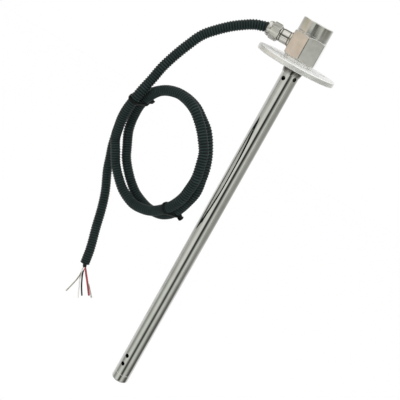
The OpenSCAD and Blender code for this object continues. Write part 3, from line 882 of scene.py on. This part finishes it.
def broken_edges(name, width_mm):
    """A copy of a CAD node with its sharp edges rounded, which stands for the node."""
    shape = bmesh.new()
    shape.from_mesh(frame["nodes"][name].data)
    bmesh.ops.remove_doubles(shape, verts=shape.verts, dist=1e-6)
    bmesh.ops.dissolve_limit(shape, angle_limit=radians(FLAT_ANGLE), verts=shape.verts, edges=shape.edges)
    source = in_scene("source", mesh_of(shape, SHARP_ANGLE))
    bevel = source.modifiers.new("broken", "BEVEL")
    bevel.width, bevel.segments = width_mm * MM, 3
    bevel.limit_method, bevel.angle_limit = "ANGLE", radians(SHARP_ANGLE)
    bevel.miter_outer = "MITER_ARC"
    bevel.use_clamp_overlap = False
    weighted = source.modifiers.new("weighted", "WEIGHTED_NORMAL")
    weighted.weight, weighted.keep_sharp = 100, False
    new_piece(name + "_finished", applied(source), slot_of[name], [name], finish_of[name])


for name, width_mm in (("mounting_flange", 0.2), ("tube_collar", 0.12), ("housing_cap", 0.15),
                       ("gland_seal", 0.5), ("gland_body", 0.1), ("tip_ring", 0.35), ("outer_tube", 0.12)):
    broken_edges(name, width_mm)

# %% [markdown]
# ## Milled and turned hexagons
#
# The housing and the gland's nut are hexagonal bar that a lathe chamfered at its ends. Where a
# flat meets a corner or a chamfer, the edge is broken by a few tenths of a millimetre, and in the
# photograph it mirrors the dark camera as a thin line. So their skin is calculated: at each height
# and each turn the radius is the smaller of the lathe's profile and the hexagon, and a soft
# minimum rounds every edge between them.


# %% A turned hexagon
# Turns from a flat's middle to its edges, in degrees, close together near the corners
FLAT_TURNS = [*(a / 4 for a in range(-120, -108)), *range(-27, 28), *(a / 4 for a in range(109, 120))]


def soft_min(a, b, width):
    """The smaller of a and b, rounded where they come within the width of each other."""
    near = max(width - abs(a - b), 0.0) / width
    return min(a, b) - near * near * width / 4


def along_profile(profile, step):
    """Points of a profile of (height, radius), no further apart than the step."""
    points = []
    for (z0, r0), (z1, r1) in zip(profile, profile[1:]):
        count = max(1, ceil(hypot(z1 - z0, r1 - r0) / step))
        points += [(z0 + (z1 - z0) * i / count, r0 + (r1 - r0) * i / count) for i in range(count)]
    return [*points, profile[-1]]


def hexagon_radius(turn, across_flats, corner):
    """Distance from the axis to a hexagon with a flat at 0 degrees, its corners rounded."""
    away = [(turn - 60 * k + 180) % 360 - 180 for k in range(6)]
    flats = sorted(across_flats / 2 / cos(radians(a)) for a in away if abs(a) < 75)
    return soft_min(flats[0], flats[1], corner)


def turned_hexagon(outside, inside, across_flats, corner, edge, first_flat, place, step=0.3):
    """A closed mesh of a chamfered hexagon with a turned bore. Lengths are in millimetres."""
    turns = [first_flat + 60 * k + a for k in range(6) for a in FLAT_TURNS]
    hexagon = [hexagon_radius(turn - first_flat, across_flats, corner) for turn in turns]
    rows = [(z, [soft_min(r, h, edge) for h in hexagon]) for z, r in along_profile(outside, step)]
    rows += [(z, [r] * len(turns)) for z, r in inside]
    ways = [(cos(radians(turn)), sin(radians(turn))) for turn in turns]
    rings = [[place(r * x, r * y, z) for (x, y), r in zip(ways, radii)] for z, radii in rows]
    return skin(rings, closed=True, sharp_angle=50)


# %% Housing
# Profiles are (height, radius) in millimetres.
HOUSING_AF, HOUSING_CORNER, HOUSING_EDGE = 28.5, 0.7, 0.35
PORT_R, PORT_FROM, PORT_TO = 4.05, 8, 20
HOUSING_OUT = [(4.5, 13.3), (4.6, 13.42), (4.75, 13.5), (6.9, 13.5), (8.9, 16.96), (10, 17.2), (26.5, 17.2),
               (27.95, 16.96), (29.6, 14.1), (30.72, 14.1), (30.85, 14.02), (30.9, 13.9)]
HOUSING_IN = [(30.9, 12.2), (30.4, 12.2), (30.4, 11), (9.5, 11), (9.5, 5.1), (4.5, 5.1)]


def upright(x, y, z):
    """Metres, with the height along Z."""
    return x * MM, y * MM, z * MM


def along_the_gland(x, y, z):
    """Metres, with the height along the gland, away from the housing."""
    return -z * MM, y * MM, (x + GLAND_Z) * MM


housing = in_scene("housing", turned_hexagon(
    HOUSING_OUT, HOUSING_IN, HOUSING_AF, HOUSING_CORNER, HOUSING_EDGE, 0, upright))
# A hexagon that is wider than its profile is a plain cylinder.
drill = in_scene("drill", turned_hexagon(
    [(PORT_FROM, PORT_R), (PORT_TO, PORT_R)], [(PORT_TO, 0.5), (PORT_FROM, 0.5)], 20, 0.1, 0.1, 0,
    along_the_gland))
cut = housing.modifiers.new("port", "BOOLEAN")
cut.object, cut.operation, cut.solver = drill, "DIFFERENCE", "EXACT"
new_piece("hex_housing_finished", applied(housing), "housing_steel", ["hex_housing"])
bpy.data.objects.remove(drill)

# %% Gland nut
# Its front flat looks 5 degrees below the horizon, as the photograph shows.
NUT_START, NUT_AF, NUT_CORNER, NUT_EDGE, NUT_FIRST_FLAT = 25.25, 14, 0.5, 0.3, 30 - 5
dome = [(8.4 + 3.6 * sin(radians(a)), 5.8 + cos(radians(a))) for a in range(10, 91, 10)]
NUT_OUT = [(0, 6.7), (0.1, 6.8), (1, 8.1), (1.2, 8.4), (7.2, 8.4), (7.4, 8.1), (8.4, 6.8), *dome]
NUT_IN = [(12, 5.35), (11.8, 5.2), (0, 5.2)]

nut_mesh = turned_hexagon(NUT_OUT, NUT_IN, NUT_AF, NUT_CORNER, NUT_EDGE, NUT_FIRST_FLAT,
                          lambda x, y, z: along_the_gland(x, y, NUT_START + z), 0.25)
new_piece("gland_nut_finished", nut_mesh, "gland_nickel", ["gland_nut"])

# %% [markdown]
# ## A small photo studio
#
# Polished steel has hardly a colour of its own: what shows on it is the room. The photograph's
# tube has a sharp dark line down its middle, where the camera's own dark corner is mirrored, and
# grey falls off to both sides. So the studio is a white room with a few painted paper walls that
# only reflections see. A wall is a strip round the part, 1.5 m away. Each stop in its list is a
# turn from the camera's direction, positive to its right, and the paper's colour there.

# %% Room and floor
FLOOR_Z, FLOOR_HALF = -1.2, 6

scene = bpy.context.scene
scene.view_settings.view_transform = "Standard"
world = bpy.data.worlds.new("white_room")
scene.world = world
world.use_nodes = True
sky = world.node_tree.nodes["Background"].inputs
sky["Color"].default_value = linear("#FFFFFF")
sky["Strength"].default_value = 1.0

corners = [(x * FLOOR_HALF, y * FLOOR_HALF, FLOOR_Z) for x, y in ((-1, -1), (1, -1), (1, 1), (-1, 1))]
floor_mesh = bpy.data.meshes.new("floor")
floor_mesh.from_pydata(corners, [], [(0, 1, 2, 3)])
floor_mesh.materials.append(new_finish("white_floor_paper", "#FFFFFF", 0.9)[0])
floor = in_scene("floor", floor_mesh)
floor.visible_glossy = False

# %% Painted walls
CAMERA_TURN = -90 + 5.0  # the camera's direction from the part, in degrees from +X
WALL_AWAY = 1.5


def wall_paper():
    """Glows with the colour painted on the wall, and fades out where its alpha is 0."""
    material = bpy.data.materials.new("painted_wall_paper")
    material.use_nodes = True
    tree = material.node_tree
    tree.nodes.clear()
    paint = add_node(tree, "ShaderNodeAttribute", attribute_name="paint")
    glow = add_node(tree, "ShaderNodeEmission", {"Color": paint.outputs["Color"]})
    clear = add_node(tree, "ShaderNodeBsdfTransparent")
    mix = add_node(tree, "ShaderNodeMixShader", {
        0: paint.outputs["Alpha"], 1: clear.outputs[0], 2: glow.outputs[0]})
    add_node(tree, "ShaderNodeOutputMaterial", {"Surface": mix.outputs[0]})
    return material


WALL_PAPER = wall_paper()


def painted_sheet(name, stops, rows, place, strength=1.0):
    """A curved sheet, painted along its stops. Rows are (where across, alpha), place gives a point."""
    turns = [stops[0][0]]
    for (a, _), (b, _) in zip(stops, stops[1:]):
        count = max(1, ceil((b - a) / 6))
        turns += [a + (b - a) * i / count for i in range(1, count)] + [b]
    points, paints, faces = [], [], []
    for turn in turns:
        after = next(i for i, (at, _) in enumerate(stops) if at >= turn)
        (a, first), (b, second) = stops[max(after - 1, 0)], stops[after]
        part = (turn - a) / (b - a) if b > a else 0.0
        colour = [strength * (x + (y - x) * part) for x, y in zip(linear(first), linear(second))]
        for across_at, alpha in rows:
            points.append(place(turn, across_at))
            paints.append((*colour[:3], alpha))
    wide = len(rows)
    for i in range(len(turns) - 1):
        for j in range(wide - 1):
            k = wide * i + j
            faces.append((k, k + wide, k + wide + 1, k + 1))
    mesh = bpy.data.meshes.new(name)
    mesh.from_pydata(points, [], faces)
    layer = mesh.color_attributes.new("paint", "FLOAT_COLOR", "POINT")
    for item, paint in zip(layer.data, paints):
        item.color = paint
    mesh.materials.append(WALL_PAPER)
    sheet = in_scene(name, mesh)
    sheet.visible_camera = sheet.visible_diffuse = sheet.visible_shadow = False
    sheet.visible_transmission = sheet.visible_volume_scatter = False


def painted_wall(name, low, high, stops, lean=0.0, fade=0.08, away=WALL_AWAY, foot_fade=None):
    """An upright strip from height low to high. Its stops lean by so many degrees a metre."""
    def place(turn, height):
        angle = radians(CAMERA_TURN + turn + lean * (height + 0.35))
        return away * cos(angle), away * sin(angle), height
    rows = [(low, 0.0), (low + (foot_fade or fade), 1.0), (high - fade, 1.0), (high, 0.0)]
    painted_sheet(name, stops, rows, place)


def painted_arch(name, left, right, stops, fade=0.12, away=1.2, strength=1.0):
    """An arch over the part from the camera's side, 0 degrees, over the top, 90, to the back, 180."""
    def place(turn, x):
        angle = radians(turn)
        return x, -away * cos(angle), away * sin(angle)
    rows = [(left, 0.0), (left + fade, 1.0), (right - fade, 1.0), (right, 0.0)]
    painted_sheet(name, stops, rows, place, strength)


painted_wall("wall_by_the_upper_tube", -0.82, -0.125, [
    (-170, "#FFFFFF"), (-120, "#F4F4F4"), (-99, "#D5D5D2"), (-82, "#C8C8C4"), (-57, "#DBDBD6"),
    (-38, "#FFFFFB"), (-11, "#FAFAF5"), (-5, "#747474"), (1, "#3A3A38"), (10, "#363634"), (17, "#646664"),
    (26, "#BCBEBA"), (38, "#F0F2EC"), (57, "#CDCFC9"), (75, "#AEAEAA"), (112, "#AAAAA6"),
    (150, "#E4E4E2"), (170, "#FFFFFF")], lean=12, fade=0.02, foot_fade=0.22)
painted_wall("wall_by_the_lower_tube", -1.9, -0.55, [
    (-165, "#FFFFFF"), (-126, "#FFFFFF"), (-99, "#E6E6E4"), (-90, "#CACAC8"), (-82, "#B0B0AE"),
    (-74, "#A6A8A4"), (-64, "#B4B6B2"), (-54, "#D2D4CE"), (-40, "#ECEEE8"), (-26, "#FAFCF6"),
    (-14, "#E8EAE4"), (-6, "#B0B0AC"), (1, "#6A6A68"), (7, "#484846"), (13, "#505050"), (20, "#8A8C88"),
    (26, "#BCBEB8"), (34, "#E8EAE4"), (46, "#E0E2DC"), (58, "#CED0CA"), (68, "#B0B0AC"), (80, "#929290"),
    (92, "#8E8E8A"), (102, "#AAAAA8"), (112, "#E0E0DE"), (122, "#FFFFFF")], lean=8, fade=0.02, away=1.51)
painted_wall("shade_by_the_tip", -1.9, -0.62, [
    (58, "#CED0CA"), (67, "#A6A6A2"), (77, "#7E7E7C"), (87, "#6A6A68"), (98, "#62625F"), (108, "#6C6C6A"),
    (117, "#A8A8A6"), (126, "#F0F0EE"), (134, "#FFFFFF")], lean=8, fade=0.24, away=1.47, foot_fade=0.02)
painted_wall("wall_by_the_housing", -0.127, -0.035, [
    (-150, "#FFFFFF"), (-100, "#F4EEE6"), (-86, "#FFEEDD"), (-54, "#FFEBD8"), (-47, "#8A8880"),
    (-40, "#383836"), (22, "#383836"), (32, "#A8A8A4"), (40, "#E8EAE4"), (57, "#D0D2CC"), (68, "#A8A8A4"),
    (100, "#A8A8A4"), (150, "#FFFFFF")], fade=0.015, away=1.49)
painted_wall("wall_by_the_cap", -0.06, 0.6, [
    (-165, "#FFFFFF"), (-130, "#D8D4CE"), (-99, "#D8D3BD"), (-77, "#DCD6C4"), (-63, "#ECE8DA"),
    (-45, "#ECEAE0"), (-30, "#F2F6EE"), (-20, "#F2F8F0"), (-14, "#707468"), (-6, "#6C7068"),
    (6, "#8C9088"), (12, "#B8BCB4"), (33, "#D8DAD2"), (45, "#D8DAD2"), (54, "#8C8C84"), (62, "#84847E"),
    (72, "#ACACA8"), (86, "#94948A"), (112, "#A0A09A"), (130, "#D4D6D0"), (150, "#FFFFFF")],
    fade=0.03, away=1.52)

# %% [markdown]
# ## Over the gland
#
# The tube stands, so it mirrors the walls all round. The gland lies across the view, so what it
# mirrors runs over the top of the part: the camera's dark corner straight ahead, the bright
# ceiling, and a dim back of the room. An arch and a strip of floor carry those.

# %% Arch over the gland and a bright ceiling
painted_arch("arch_over_the_gland", -0.36, 0.14, [
    (-5.5, "#C0C0BC"), (1, "#5A5A58"), (14, "#585856"), (21, "#A0A09C"), (28, "#E4E4E0"), (45, "#F8F8F6"),
    (66, "#FFFFFF"), (84, "#F4F4F0"), (104, "#E8E8E4"), (111, "#B4B4B0"), (118, "#848480"),
    (148, "#80807C"), (162, "#B8B8B4"), (176, "#FFFFFF")], strength=1.18)
painted_arch("floor_under_the_gland", -0.36, 0.14, [
    (-170, "#B0B0AC"), (-150, "#8C8C88"), (-118, "#848480"), (-100, "#A0A09C"), (-80, "#CCCCC8"),
    (-62, "#E8E8E4")])
painted_wall("dim_left_side", 0.3, 1.5, [
    (-150, "#FFFFFF"), (-130, "#A4A4A0"), (-75, "#A4A4A0"), (-62, "#FFFFFF")], fade=0.15)
painted_arch("bright_ceiling", -1.6, 1.6, [(52, "#FFFFFF"), (130, "#FFFFFF")], fade=0.3, away=1.7,
             strength=1.4)
print("walls painted")
